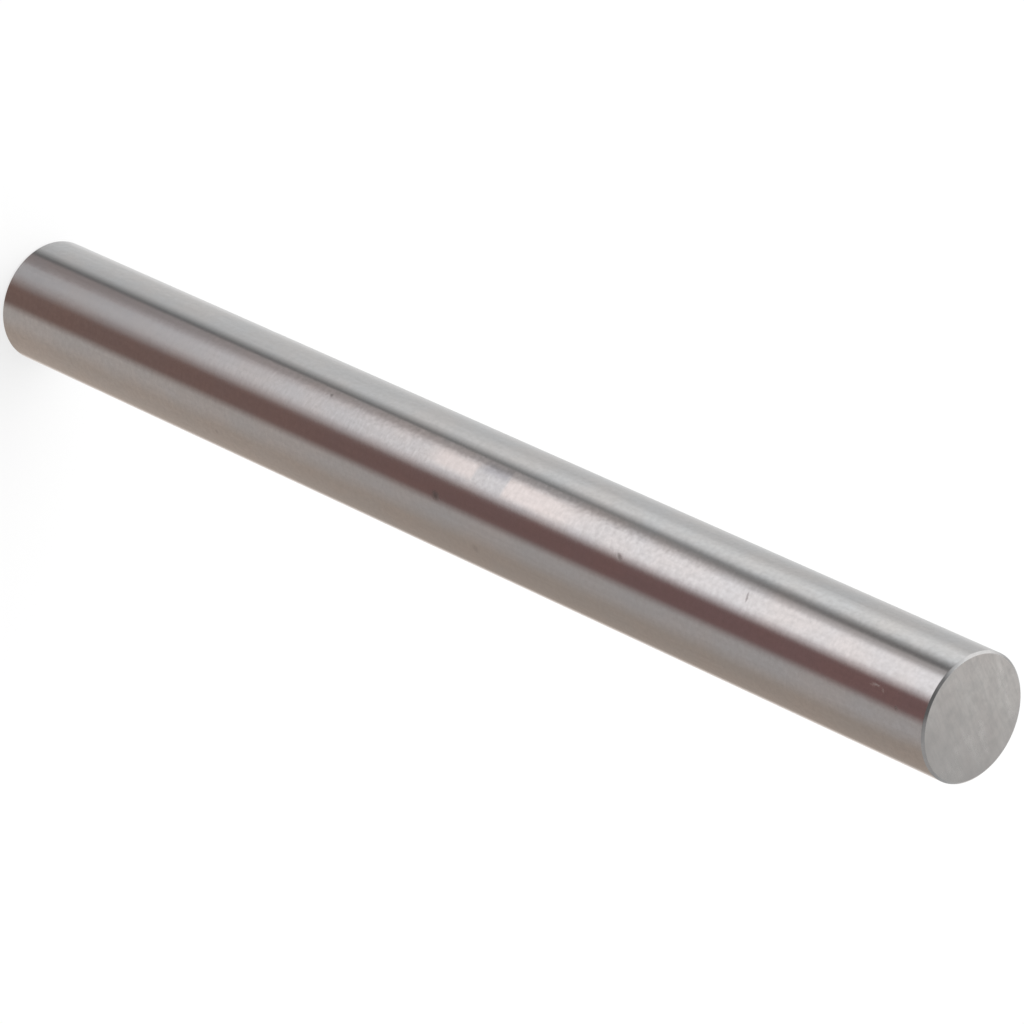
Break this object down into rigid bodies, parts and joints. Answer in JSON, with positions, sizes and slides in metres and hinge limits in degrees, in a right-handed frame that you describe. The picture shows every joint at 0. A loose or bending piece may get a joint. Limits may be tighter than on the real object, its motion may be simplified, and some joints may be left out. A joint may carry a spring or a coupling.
{
  "type": "pin gauge",
  "caption": "Plain cylindrical pin gauge: a ground steel pin with square ends and small broken corners, for testing the size of a hole.",
  "frame": {"origin": "centre of the lower end face, on which the pin stands", "axes": "+Z along the pin's axis, from the end it stands on to the other end; X and Y are any two directions across the round pin"},
  "size_m": [0.0048, 0.0048, 0.05],
  "materials": {
    "ground_steel": "finely ground, satin, with ground square ends"
  },
  "bodies": {
    "root": {"gauge_pin": "ground_steel"}
  },
  "joints": []
}
